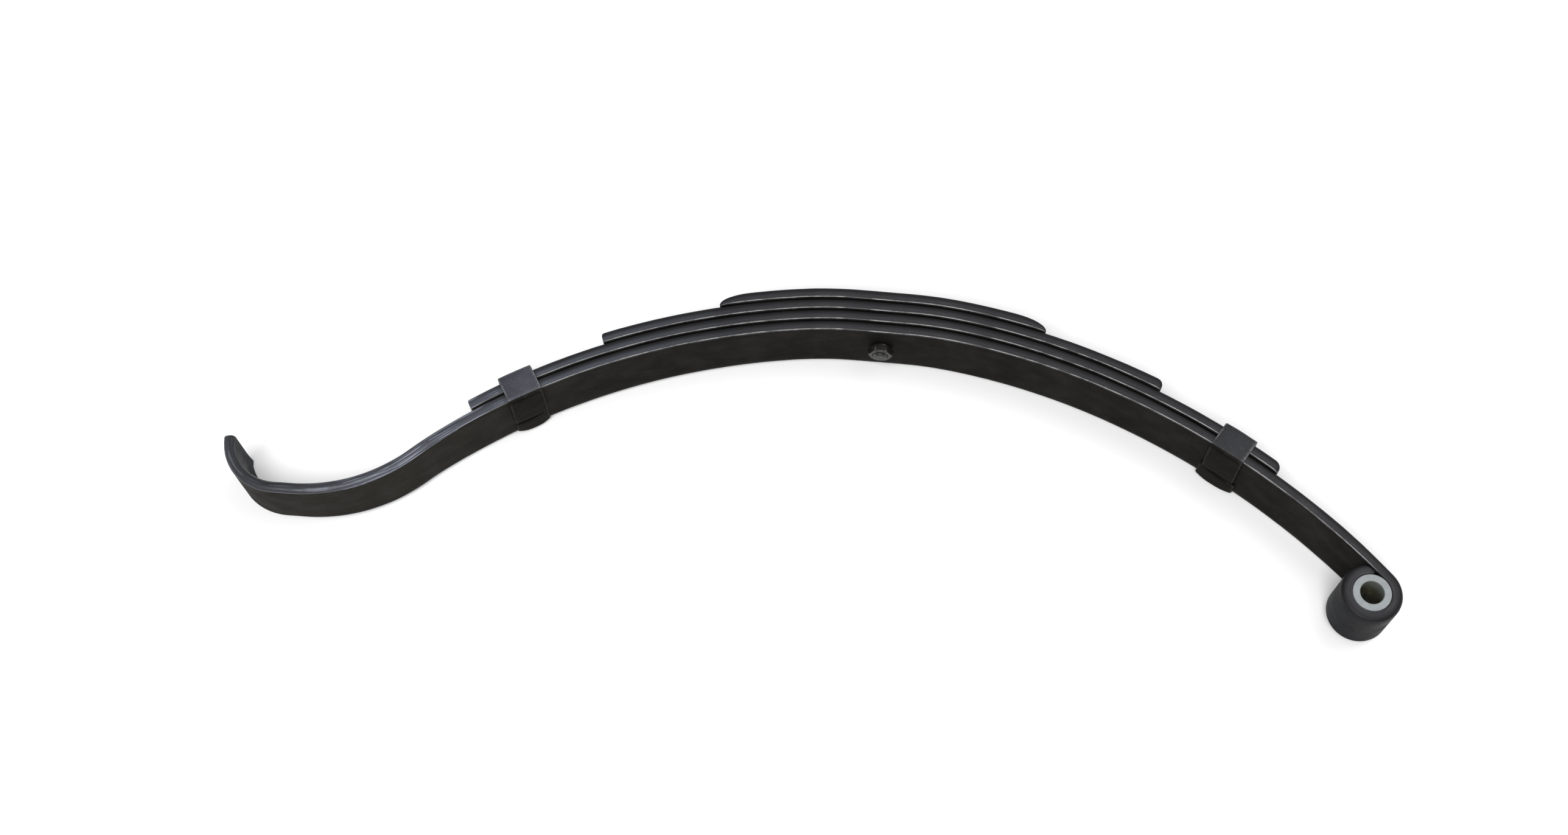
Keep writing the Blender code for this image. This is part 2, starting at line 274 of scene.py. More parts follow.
class Ring:
    """One loft station: where it stands, which way is convex, and how the section is changed.

    base and top give the leaf's layer and thickness, foot lifts the concave face, inset narrows
    the section, soft rounds its concave corners, far cuts the far outer edge back and fillet
    thickens it.
    """

    def __init__(self, s, point, normal, base=0.0, top=LEAF_T, foot=0.0, inset=0.0, soft=0.0, far=0.0,
                 fillet=0.0):
        self.s = s
        self.point = point
        self.normal = normal
        self.base = base
        self.top = top
        self.foot = foot
        self.inset = inset
        self.soft = soft
        self.far = far
        self.fillet = fillet


def uneven(s, w, v, seed):
    """Small rolling and shearing waviness: across the face, along the edges, and at the corners."""
    side = 1.0 if abs(w) > HALF_W - EDGE_BAND else 0.0
    face = 0.00010 * ripple(s, w, v, 0.035, seed) + 0.00004 * ripple(s, w, v, 0.007, seed + 1)
    edge = side * (0.00022 * ripple(s, w * 0.2, v, 0.045, seed + 2)
                   + 0.00008 * ripple(s, w, v, 0.006, seed + 3))
    return face, edge


def ring_points(ring, seed):
    """Section of one station: places, leaf coordinates, corner marks and face kinds. The corner marks are
    the rubbed concave corner line, worn paint with a painted highlight, and the painted shade along the
    rolled convex corner.
    """
    verts, where, rub_glint_and_shade, kinds = [], [], [], []
    section = SECTION if ring.soft == 0.0 else leaf_section(CORNER_CONCAVE + ring.soft)
    keep = 1.0 - ring.soft / SLIPPER_SOFT
    for v, w in section:
        share = v / LEAF_T
        height = ring.base + ring.foot * (1 - share) + (ring.top * share)
        width = w * (1 - ring.inset / HALF_W)
        if w < 0.0:
            width += ring.far * share ** 2 * (-w / HALF_W) ** 3
            height += ring.fillet * share * (-w / HALF_W) ** 3
        lift, push = uneven(ring.s, w, v + ring.base, seed)
        inside = -1.0 if share < 0.5 else 1.0
        height += inside * lift * 0.8
        width += math.copysign(push, w) if abs(w) > HALF_W - EDGE_BAND else 0.0
        verts.append((ring.point.x + ring.normal.x * height,
                      ring.point.y + ring.normal.y * height, width))
        where.append((ring.s, w, v))
        corner = math.hypot(v, HALF_W - abs(w))
        shoulder = math.hypot(LEAF_T - v, HALF_W - abs(w))
        # first: rubbed concave corner line, worn paint with a painted highlight; second: painted shade
        # along the rolled convex corner
        rub_glint_and_shade.append((keep * max(0.0, 1.0 - corner / RUB_WIDTH), max(0.0, 1.0 - shoulder / SHOULDER_WIDTH)))
        if v < CORNER_CONCAVE * 0.4:
            kinds.append(CONCAVE)
        else:
            kinds.append(CONVEX if v > LEAF_T - 0.0004 else EDGE)
    return verts, where, rub_glint_and_shade, kinds


def ream(s, r, rows, base, verts, where, rub_glint_and_shade, faces, slots):
    """Join the open patches of both faces round a hole to its circles, and wall the hole."""
    point, normal = place(s)
    along = Vector((normal.y, -normal.x))
    circles = []
    for table, kind, height in ((CONCAVE_COLUMNS, CONCAVE, base), (CONVEX_COLUMNS, CONVEX, base + LEAF_T)):
        cols = [table[w] for w in HOLE_COLUMNS]
        edge = [(rows[0], c) for c in cols[:-1]] + [(i, cols[-1]) for i in rows[:-1]]
        edge += [(rows[-1], c) for c in cols[:0:-1]] + [(i, cols[0]) for i in rows[:0:-1]]
        outer = [i * COLUMN_COUNT + c for i, c in edge]
        circle = []
        for index in outer:
            a = math.atan2(where[index][1], where[index][0] - s)
            at = point + normal * height + along * (r * math.cos(a))
            circle.append(len(verts))
            verts.append((at.x, at.y, r * math.sin(a)))
            where.append((s + r * math.cos(a), r * math.sin(a), height - base))
            rub_glint_and_shade.append((0.0, 0.0))
        for k in range(len(outer)):
            m = (k + 1) % len(outer)
            quad = (outer[k], outer[m], circle[m], circle[k])
            faces.append(quad if kind == CONCAVE else quad[::-1])
            slots.append(kind)
        circles.append(circle)
    low, high = circles
    for k in range(len(low)):
        m = (k + 1) % len(low)
        faces.append((low[k], low[m], high[m], high[k]))
        slots.append(EDGE)


def leaf_mesh(name, rings, seed, holes):
    """Loft through the stations, with a round hole of (arch length, radius) for each of holes."""
    verts, where, rub_glint_and_shade, kinds = [], [], [], []
    for ring in rings:
        for total, part in zip((verts, where, rub_glint_and_shade, kinds), ring_points(ring, seed)):
            total.extend(part)
    count = COLUMN_COUNT
    skip = set()
    patches = []
    for s, r in holes:
        rows = [i for i, ring in enumerate(rings) if abs(ring.s - s) < HOLE_HALF + 1e-6]
        patches.append((s, r, rows))
        for table in (CONCAVE_COLUMNS, CONVEX_COLUMNS):
            cols = sorted(table[w] for w in HOLE_COLUMNS)
            skip.update((i, j) for i in rows[:-1] for j in cols[:-1])
    faces, slots = [], []
    for i in range(len(rings) - 1):
        for j in range(count):
            if (i, j) in skip:
                continue
            k = (j + 1) % count
            faces.append((i * count + j, i * count + k, (i + 1) * count + k, (i + 1) * count + j))
            picks = (kinds[i * count + j], kinds[i * count + k])
            slots.append(picks[0] if picks[0] == picks[1] else EDGE)
    last = (len(rings) - 1) * count
    faces.append(tuple(range(count))[::-1])
    faces.append(tuple(range(last, last + count)))
    slots += [EDGE, EDGE]
    for s, r, rows in patches:
        ream(s, r, rows, rings[rows[0]].base, verts, where, rub_glint_and_shade, faces, slots)
    item = new_mesh(name, verts, faces, 40, slots)
    point_vectors(item, "leaf_at", where)
    # corner carries the rubbed line with its painted highlight, shoulder the painted shade of the convex
    # corners
    point_values(item, "corner", [corner for corner, shoulder in rub_glint_and_shade])
    point_values(item, "shoulder", [shoulder for corner, shoulder in rub_glint_and_shade])
    return item


def end_rings(s, sign, radius, base):
    """Extra stations that round a leaf's end over its convex corner; sign points outwards."""
    out = []
    for share in (0.62, 0.34, 0.14, 0.04, 0.0):
        d = share * radius
        drop = radius - math.sqrt(max(0.0, radius * radius - (radius - d) ** 2))
        crisp = END_CRISP * (1 - min(1.0, d / END_CRISP))
        point, normal = place(s - sign * d)
        out.append(Ring(s - sign * d, point, normal, base, LEAF_T - drop, crisp, crisp + drop * 0.35))
    return out


def plain_ring(s, base, top=LEAF_T, foot=0.0, inset=0.0):
    """Station on the arch at arch length s."""
    point, normal = place(s)
    return Ring(s, point, normal, base, top, foot, inset)


def short_leaf(name, ends, layer, seed, radii, holes):
    """Leaf of one of the upper layers, with both ends rounded over to the given radii."""
    low, high = -ends[0], ends[1]
    base = layer * PITCH
    rings = list(reversed(end_rings(low, -1.0, radii[0], base)))
    rings += [plain_ring(s, base) for s in fine_stations(low + radii[0], high - radii[1], holes)]
    rings += end_rings(high, 1.0, radii[1], base)
    return leaf_mesh(name, rings, seed, holes)


def thinned_leaf(name, ends, layer, seed, taper, tip, holes):
    """Leaf whose ends thin out to the tip along a quarter ellipse of the taper's length."""
    low, high = -ends[0], ends[1]
    base = layer * PITCH
    shares = [(k / 10) ** 2 for k in range(11)]

    def end_ring(s, share):
        near = min(s - low, high - s)
        top = LEAF_T
        if near < taper:
            top = tip + (LEAF_T - tip) * math.sqrt(1 - (1 - near / taper) ** 2)
        return plain_ring(s, base, top, TIP_BREAK * (share == 0.0), TIP_INSET * (1 - share) ** 10)

    rings = [end_ring(low + taper * share, share) for share in shares]
    rings += [plain_ring(s, base) for s in fine_stations(low + taper, high - taper, holes)[1:-1]]
    rings += [end_ring(high - taper * share, share) for share in reversed(shares)]
    return leaf_mesh(name, rings, seed, holes)


def main_leaf():
    """Hook tail, hook bend, slipper, arch and the rolled eye with its tucked nose."""
    rings = []
    low = -arm_length(SLIPPER_ARM)
    pad, up = place(low)
    outer = HOOK_INNER_R + LEAF_T
    pivot = pad + up * outer
    start = math.atan2(-up.y, -up.x)
    end = start - HOOK_BEND
    arm = Vector((math.cos(end), math.sin(end)))
    along = Vector((arm.y, -arm.x))
    tail = pivot + arm * outer
    bend_length = HOOK_BEND * outer
    for back in (0.0, 0.0002, 0.0006, 0.0013, 0.0025, 0.0038):
        soft = max(0.0, TAIL_ROUND - back)
        drop = TAIL_ROUND - math.sqrt(max(0.0, TAIL_ROUND ** 2 - soft ** 2))
        reach = HOOK_TAIL - back
        rings.append(Ring(low - bend_length - reach, tail + along * reach, -arm, 0.0,
                          LEAF_T - drop, drop * 0.7, drop * 1.2, SLIPPER_SOFT, fillet=TAIL_FILLET))
    bend_steps = 13
    for i in range(bend_steps):
        a = end + HOOK_BEND * i / bend_steps
        arm = Vector((math.cos(a), math.sin(a)))
        fillet = TAIL_FILLET * (1 - i / bend_steps) + HOOK_FILLET * math.sin(math.pi * i / bend_steps)
        rings.append(Ring(low - bend_length * (1 - i / bend_steps), pivot + arm * outer, -arm,
                          soft=SLIPPER_SOFT, fillet=fillet))
    s_end = arm_length(EYE_ARM)
    for s in fine_stations(low, s_end, [(0.0, BOLT_HOLE_R)]):
        point, normal = place(s)
        soft = SLIPPER_SOFT * min(1.0, max(0.0, (SOFT_FROM - s) / SOFT_OVER))
        drawn = max(0.0, 1 - (s_end - s) / EYE_THIN)
        rings.append(Ring(s, point, normal, top=LEAF_T + (EYE_T - LEAF_T) * drawn, soft=soft))
    first = math.atan2(normal.y, normal.x)
    eye_steps = 78
    for i in range(1, eye_steps + 1):
        turn = EYE_TURN * i / eye_steps
        a = first - turn
        out = Vector((math.cos(a), math.sin(a)))
        over = turn - (EYE_TURN - EYE_NOSE)
        thick, foot, inset = EYE_T, 0.0, 0.0
        if over > 0:
            part = over / EYE_NOSE
            thick = NOSE_T + (EYE_T - NOSE_T) * math.cos(math.pi / 2 * part)
            foot = 0.0008 * max(0.0, part - 0.75) / 0.25
            inset = 0.0010 * max(0.0, part - 0.6) / 0.4
        rings.append(Ring(s_end + turn * EYE_R, EYE_CENTRE + out * EYE_R, out, 0.0, thick, foot, inset,
                          far=EYE_FAR_CUT * min(1.0, i / 8)))
    return leaf_mesh("main_leaf_detail", rings, 1, [(0.0, BOLT_HOLE_R)])


# ---------------------------------------------------------------- turned pieces
def turned(name, outline, steps, wobble):
    """Turned solid about local Z from (radius, height) pairs; wobble shifts each point a little."""
    verts, faces = [], []
    ring_of = []
    for r, z in outline:
        if r < 1e-7:
            ring_of.append([len(verts)] * steps)
            verts.append((0.0, 0.0, z))
            continue
        row = []
        for k in range(steps):
            a = 2 * math.pi * k / steps
            rr, zz = wobble(r, z, a)
            row.append(len(verts))
            verts.append((rr * math.cos(a), rr * math.sin(a), zz))
        ring_of.append(row)
    pairs = list(zip(ring_of, ring_of[1:]))
    if outline[0][0] > 1e-7:
        pairs.append((ring_of[-1], ring_of[0]))
    for upper, lower in pairs:
        for k in range(steps):
            m = (k + 1) % steps
            quad = [upper[k], lower[k], lower[m], upper[m]]
            unique = list(dict.fromkeys(quad))
            if len(unique) > 2:
                faces.append(tuple(unique))
    return new_mesh(name, verts, faces, 38)


def stand(item, origin, axis):
    """Put a piece's local Z on an axis, with the change baked into the mesh."""
    turn = Vector(axis).to_track_quat("Z", "X").to_matrix().to_4x4()
    item.data.transform(Matrix.Translation(Vector(origin)) @ turn)
    return item


def arc(centre_r, centre_z, radius, start, stop, steps):
    """Round stretch of an outline, between two angles in degrees."""
    out = []
    for i in range(steps + 1):
        a = math.radians(start + (stop - start) * i / steps)
        out.append((centre_r + radius * math.cos(a), centre_z + radius * math.sin(a)))
    return out


def centre_bolt():
    """Round head with a soft rim, plain shank, and thread where it comes out of the nut."""
    low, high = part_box("centre_bolt")
    head_r = (high[0] - low[0]) / 2
    head_h = -mounts["axle_seat"]["pos_m"][1] - GAP
    end = low[1]
    nut_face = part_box("centre_nut")[1][1]
    thread_pitch = 0.0008
    outline = [(0.0, 0.0), (0.0016, 0.0), (0.0018, -0.00015), (head_r * 0.55, -0.0001)]
    outline += arc(head_r - 0.0012, -0.0012, 0.0012, 90, 0, 6)
    outline += [(head_r, -head_h * 0.5)] + arc(head_r - 0.0006, -head_h + 0.0006, 0.0006, 0, -90, 3)
    outline += [(BOLT_R, -head_h), (BOLT_R, nut_face)]
    z = nut_face - thread_pitch / 2
    while z > end + 2 * thread_pitch:
        outline += [(BOLT_R, z), (BOLT_R - 0.00045, z - thread_pitch / 2)]
        z -= thread_pitch
    outline += [(BOLT_R - 0.0002, end + 0.0011), (BOLT_R - 0.0012, end + 0.0002),
                (BOLT_R - 0.0016, end), (BOLT_R * 0.4, end + 0.0002), (0.0, end + 0.0002)]

    def wobble(r, z, a):
        dent = 0.00012 * noise.noise(Vector((math.cos(a) * r * 300, math.sin(a) * r * 300, z * 250)))
        return r * (1 + dent * 7.2), z + dent

    item = turned("centre_bolt_detail", outline, 64, wobble)
    return stand(item, (0.0, 0.0, 0.0), (0.0, 1.0, 0.0))


def centre_nut():
    """Hex nut: chamfered corners top and bottom, bore, and flats from the CAD box."""
    low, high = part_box("centre_nut")
    height = high[1] - low[1]
    flat = (high[0] - low[0]) / 2
    corner = flat / math.cos(math.radians(30))
    steps = 96
    bore = BOLT_R + GAP
    verts, faces = [], []
    levels = [(0.0, 0.0), (0.0, 0.6), (0.0, 1.0), (0.07, 1.0), (0.18, 1.0), (0.5, 1.0), (0.82, 1.0),
              (0.93, 1.0), (1.0, 1.0), (1.0, 0.6), (1.0, 0.0)]
    for share, out in levels:
        for k in range(steps):
            a = 2 * math.pi * k / steps
            local = (a + math.radians(30)) % math.radians(60) - math.radians(30)
            hexa = flat / math.cos(local)
            near_end = min(share, 1 - share) * height
            cone = flat * 0.985 + near_end * 1.9
            full = min(hexa, cone, corner)
            r = bore + 0.0003 + (full - bore - 0.0003) * out if out < 1 else full
            worn = 0.00010 * noise.noise(Vector((math.cos(a) * 3, math.sin(a) * 3, share * 4)))
            verts.append(((r + worn) * math.cos(a), (r + worn) * math.sin(a), (share - 0.5) * height))
    rows = len(levels)
    first_bore = len(verts)
    for z in (height / 2 - 0.0003, -height / 2 + 0.0003):
        for k in range(steps):
            a = 2 * math.pi * k / steps
            verts.append((bore * math.cos(a), bore * math.sin(a), z))
    order = [list(range(i * steps, (i + 1) * steps)) for i in range(rows)]
    order.append(list(range(first_bore, first_bore + steps)))
    order.append(list(range(first_bore + steps, first_bore + 2 * steps)))
    for a_row, b_row in zip(order, order[1:] + order[:1]):
        for k in range(steps):
            m = (k + 1) % steps
            faces.append((a_row[k], a_row[m], b_row[m], b_row[k]))
    middle = (low[1] + high[1]) / 2
    return stand(new_mesh("centre_nut_detail", verts, faces, 24), (0.0, middle, 0.0), (0.0, 1.0, 0.0))


def rivet(name, s, seed):
    """Hammered domed head with the shank through clip and leaf 2."""
    point, normal = place(s)
    top = PITCH + LEAF_T + GAP + CLIP_T + GAP
    outline = [(0.0, RIVET_HEAD_H)]
    for i in range(1, 15):
        a = math.radians(90 * i / 14)
        outline.append((RIVET_HEAD_R * math.sin(a) ** 0.92, RIVET_HEAD_H * (0.14 + 0.86 * math.cos(a))))
    outline += [(RIVET_HEAD_R * 0.985, 0.0002), (RIVET_HEAD_R * 0.96, 0.0), (RIVET_R - GAP, 0.0),
                (RIVET_R - GAP, PITCH - top + 0.0004), (RIVET_R - GAP - 0.0004, PITCH - top),
                (0.0, PITCH - top)]

    def wobble(r, z, a):
        at = Vector((math.cos(a) * r, math.sin(a) * r, z))
        if z <= 0.0:
            return r, z
        facet = noise.noise(at * 420 + Vector((seed, 0, 0)))
        broad = noise.noise(at * 160 + Vector((0, seed, 0)))
        return r * (1 + 0.05 * broad), z * (1 + 0.13 * facet + 0.10 * broad)

    item = turned(name, outline, 56, wobble)
    origin = point + normal * top
    return stand(item, (origin.x, origin.y, 0.0), (normal.x, normal.y, 0.0))


def bushing():
    """Plain sleeve with rounded rims; its end faces dip a little, and the bore stays true."""
    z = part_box("eye_bushing")[1][2]
    e = 0.0007
    outline = arc(BORE_R + e, z - e, e, 180, 90, 5)
    for k in range(1, 6):
        outline.append((BORE_R + e + (BUSH_R - BORE_R - 2 * e) * k / 6, z))
    outline += arc(BUSH_R - e, z - e, e, 90, 0, 5)
    outline += [(BUSH_R, z * k / 4) for k in (3, 2, 1, 0, -1, -2, -3)]
    outline += arc(BUSH_R - e, -z + e, e, 0, -90, 5)
    for k in range(5, 0, -1):
        outline.append((BORE_R + e + (BUSH_R - BORE_R - 2 * e) * k / 6, -z))
    outline += arc(BORE_R + e, -z + e, e, -90, -180, 5)
    outline += [(BORE_R, z * k / 8) for k in range(-7, 8)]

    def wobble(r, height, a):
        depth = 0.00006
        cut = depth * noise.noise(Vector((math.cos(a) * 2, math.sin(a) * 2, r * 900)))
        if abs(height) > z - 1e-5:
            height += cut - math.copysign(depth, height)
        return r + cut * 0.5, height

    item = turned("eye_bushing_detail", outline, 96, wobble)
    return stand(item, (EYE_CENTRE.x, EYE_CENTRE.y, 0.0), (0.0, 0.0, 1.0))


# ---------------------------------------------------------------- clips
def strap_path(bulge):
    """Mid-line of the bent strap as (height over the concave face, width, outward direction)."""
    inner_w = HALF_W + CLIP_SIDE_GAP
    low, high = -GAP, PITCH + LEAF_T + GAP
    r = 0.0016
    far_r = r + bulge
    mid = CLIP_T / 2
    pts = []

    def bend(cv, cw, radius, start, steps=8):
        for i in range(steps + 1):
            a = math.radians(start - 90.0 * i / steps)
            pts.append((cv + (radius + mid) * math.cos(a), cw + (radius + mid) * math.sin(a),
                        (math.cos(a), math.sin(a))))

    near_end = inner_w - NEAR_TAB
    far_end = -inner_w + FAR_TAB
    tab_steps = 12
    for i in range(tab_steps):
        w = near_end + (inner_w - r - near_end) * i / tab_steps
        pts.append((low - mid, w, (-1.0, 0.0)))
    bend(low + r, inner_w - r, r, 180)
    for i in range(1, 4):
        pts.append((low + r + (high - low - 2 * r) * i / 4, inner_w + mid, (0.0, 1.0)))
    bend(high - r, inner_w - r, r, 90)
    for i in range(1, 14):
        w = (inner_w - r) * (1 - 2 * i / 14)
        pts.append((high + mid, w, (1.0, 0.0)))
    bend(high - r, -inner_w + r, r, 0)
    for i in range(1, 4):
        pts.append((high - r - (high - low - r - far_r) * i / 4, -inner_w - mid, (0.0, -1.0)))
    bend(low + far_r - bulge * 0.9, -inner_w + far_r, far_r, -90)
    last_v, last_w = pts[-1][0], pts[-1][1]
    for i in range(1, 6):
        share = i / 5
        w = last_w + (far_end - last_w) * share
        pts.append((last_v + bulge * 0.5 * share, w, (-1.0, 0.0)))
    return pts


def strap_section():
    """Strap section as (along the spring, thickness from the mid-line, positive outwards)."""
    half = CLIP_WIDTH / 2
    e = 0.0007
    t = CLIP_T / 2
    pts = []
    for i in range(9):
        pts.append((-half + e + (CLIP_WIDTH - 2 * e) * i / 8, -t))
    for i in range(1, 5):
        a = math.radians(-90 + 90 * i / 4)
        pts.append((half - e * 0.5 + e * 0.5 * math.cos(a), -t + e * 0.5 + e * 0.5 * math.sin(a)))
    for i in range(0, 5):
        a = math.radians(90 * i / 4)
        pts.append((half - e + e * math.cos(a), t - e + e * math.sin(a)))
    for i in range(1, 8):
        pts.append((half - e - (CLIP_WIDTH - 2 * e) * i / 8, t))
    for i in range(0, 5):
        a = math.radians(90 + 90 * i / 4)
        pts.append((-half + e + e * math.cos(a), t - e + e * math.sin(a)))
    for i in range(0, 4):
        a = math.radians(180 + 90 * i / 4)
        pts.append((-half + e * 0.5 + e * 0.5 * math.cos(a), -t + e * 0.5 + e * 0.5 * math.sin(a)))
    return pts


def clip(name, s, seed, bulge, skew, wedge, thin, pinch, flare=0.0, rub=0.0):
    """Flat strap bent round two leaves.

    skew slants both cut ends, wedge opens the gap between them towards one side, thin is the
    strap's thickness on the near and convex sides, pinch rounds off the far tab's outer corners,
    flare widens that tab and rub scuffs the near plate's outer edge.
    """
    point, normal = place(s)
    along = Vector((normal.y, -normal.x))
    path = strap_path(bulge)
    sect = strap_section()
    count = len(sect)
    verts, where, worn = [], [], []
    total = len(path)
    half = CLIP_WIDTH / 2
    for i, (v, w, n) in enumerate(path):
        ends = max(0.0, 1 - i / 8), max(0.0, 1 - (total - 1 - i) / 5)
        tip = 0.80 if i in (0, total - 1) else 1.0
        far = max(0.0, -n[1]) if i < total - 14 else 1.0
        lean = thin + (1 - thin) * max(far, max(0.0, -n[0]))
        for flat_u, t in sect:
            u = flat_u * (1 + flare * far)
            lobe = 1 - pinch * far * (abs(flat_u) / half) ** 2.5
            t2 = t * tip * lean * lobe - (1 - lean * lobe) * CLIP_T / 2
            slant = (skew - wedge) * u * ends[0] + (skew + wedge) * u * ends[1]
            ragged = 0.0006 * ripple(u, w, 0.0, 0.006, seed) * (ends[0] ** 3 + ends[1] ** 3)
            bow = 0.00018 * ripple(u, w, v, 0.014, seed + 3) + 0.00007 * ripple(u, w, v, 0.004, seed)
            vv = v + n[0] * (t2 + bow)
            ww = w + n[1] * (t2 + bow) + slant + ragged
            curve = -(u * u) / (2 * ARCH_R)
            at = point + normal * (vv + curve) + along * u
            verts.append((at.x, at.y, ww))
            where.append((u, w + v, t))
            edge = max(0.0, 1 - (half - abs(flat_u)) / 0.0018) if t > 0 else 0.0
            edge = max(edge, rub * max(0.0, (flat_u / half - 0.55) / 0.45) * max(0.0, n[1]))
            fold = max(abs(n[0]), abs(n[1]))
            worn.append(max(edge, (1 - fold) * 2.2 if t > 0 else 0.0))
    faces, slots = [], []
    for i in range(total - 1):
        # faces of the concave-side tab, and the cut ends, take slot 1: a darker copy of the strap paint,
        # painted shade
        on_shaded_tab = 1 if path[i][2][0] + path[i + 1][2][0] < -1.2 else 0
        for j in range(count):
            k = (j + 1) % count
            faces.append((i * count + j, i * count + k, (i + 1) * count + k, (i + 1) * count + j))
            slots.append(on_shaded_tab)
    faces.append(tuple(range(count))[::-1])
    faces.append(tuple(range((total - 1) * count, total * count)))
    slots += [1, 1]
    item = new_mesh(name, verts, faces, 50, slots)
    point_vectors(item, "leaf_at", where)
    point_values(item, "corner", worn)
    return item


# ---------------------------------------------------------------- materials
BARE_AND_GLINT = (0.205, 0.205, 0.208)       # bare steel where the paint is rubbed off, made as bright as the painted highlight on the leaves' concave corners


class Nodes:
    """Small helper for building a node tree."""

    def __init__(self, name):
        self.material = bpy.data.materials.new(name)
        self.material.use_nodes = True
        self.tree = self.material.node_tree
        self.shader = self.tree.nodes["Principled BSDF"]

    def link(self, a, b):
        self.tree.links.new(a, b)

    def math(self, operation, a, b=0.5, clamp=False):
        node = self.tree.nodes.new("ShaderNodeMath")
        node.operation = operation
        node.use_clamp = clamp
        for socket, value in ((node.inputs[0], a), (node.inputs[1], b)):
            if isinstance(value, (int, float)):
                socket.default_value = value
            else:
                self.link(value, socket)
        return node.outputs[0]

    def ramp(self, value, low, high, out_low=0.0, out_high=1.0):
        node = self.tree.nodes.new("ShaderNodeMapRange")
        node.clamp = True
        node.interpolation_type = "SMOOTHSTEP"
        self.link(value, node.inputs["Value"])
        node.inputs["From Min"].default_value = low
        node.inputs["From Max"].default_value = high
        node.inputs["To Min"].default_value = out_low
        node.inputs["To Max"].default_value = out_high
        return node.outputs["Result"]

    def noise(self, vector, scale, detail=4.0, rough=0.55):
        node = self.tree.nodes.new("ShaderNodeTexNoise")
        node.inputs["Scale"].default_value = scale
        node.inputs["Detail"].default_value = detail
        node.inputs["Roughness"].default_value = rough
        self.link(vector, node.inputs["Vector"])
        return node.outputs["Fac"]

    def mix(self, factor, a, b):
        node = self.tree.nodes.new("ShaderNodeMix")
        node.data_type = "RGBA"
        if isinstance(factor, (int, float)):
            node.inputs["Factor"].default_value = factor
        else:
            self.link(factor, node.inputs["Factor"])
        for socket, value in ((node.inputs[6], a), (node.inputs[7], b)):
            if isinstance(value, tuple):
                socket.default_value = (*value, 1.0)
            else:
                self.link(value, socket)
        return node.outputs[2]

    def stretch(self, vector, sx, sy, sz):
        node = self.tree.nodes.new("ShaderNodeMapping")
        node.inputs["Scale"].default_value = (sx, sy, sz)
        self.link(vector, node.inputs["Vector"])
        return node.outputs["Vector"]

    def attribute(self, name):
        node = self.tree.nodes.new("ShaderNodeAttribute")
        node.attribute_name = name
        return node.outputs

    def object_place(self):
        return self.tree.nodes.new("ShaderNodeTexCoord").outputs["Object"]

    def split(self, vector):
        node = self.tree.nodes.new("ShaderNodeSeparateXYZ")
        self.link(vector, node.inputs[0])
        return node.outputs

    def bump(self, height, strength, distance, normal=None):
        node = self.tree.nodes.new("ShaderNodeBump")
        node.inputs["Strength"].default_value = strength
        node.inputs["Distance"].default_value = distance
        self.link(height, node.inputs["Height"])
        if normal is not None:
            self.link(normal, node.inputs["Normal"])
        return node.outputs["Normal"]


def follow_leaf(n, run, base, grain, cloud):
    """Colour changes along a leaf's edge, with painted highlight streaks on the slipper and painted shade
    on the rolled convex corners; gives the colour, the slipper's share and the line's.
    """
    slipper = n.ramp(run, -0.270, -0.205, 1.0, 0.0)
    short_of_hook = n.ramp(run, -0.400, -0.355, 0.28, 1.0)
    blue = n.math("MULTIPLY", n.ramp(run, -0.215, -0.060, 0.92, 0.0), short_of_hook)
    base = n.mix(blue, base, (0.070, 0.076, 0.094))
    dull = n.math("MULTIPLY", n.ramp(run, 0.040, 0.170, 0.0, 0.55), n.ramp(run, 0.225, 0.262, 1.0, 0.55))
    base = n.mix(dull, base, (0.011, 0.0115, 0.0145))
    lines = n.ramp(grain, 0.48, 0.66)
    base = n.mix(n.math("MULTIPLY", lines, 0.30), base, tuple(0.36 * c for c in BARE_AND_GLINT))
    # painted highlight: lengthwise light streaks on the slipper's edges
    drawn = n.noise(n.stretch(n.attribute("leaf_at")["Vector"], 0.030, 1.0, 1.0), 800.0, 3.0, 0.5)
    highlight_streak = n.math("MULTIPLY", n.ramp(drawn, 0.52, 0.60), n.ramp(cloud, 0.34, 0.52))
    highlight_streak = n.math("MULTIPLY", highlight_streak, n.math("MULTIPLY", slipper, short_of_hook))
    base = n.mix(n.math("MULTIPLY", highlight_streak, 0.85), base, (0.290, 0.305, 0.370))
    # bright corner line: rubbed paint with a painted highlight, faded on the slipper and at the eye
    rub_and_glint_line = n.math("MULTIPLY", n.math("SUBTRACT", 1.0, n.math("MULTIPLY", slipper, 0.85)),
                  n.ramp(run, 0.338, 0.358, 1.0, 0.10))
    shoulder = n.attribute("shoulder")["Fac"]
    # painted shade: the rolled convex corners darken towards the dark colour below
    depth = n.math("MULTIPLY", n.ramp(shoulder, -0.40, 0.60, 0.0, 0.93),
                   n.math("SUBTRACT", 1.0, n.math("MULTIPLY", slipper, 0.45)))
    return n.mix(depth, base, (0.0035, 0.0035, 0.0045)), slipper, rub_and_glint_line


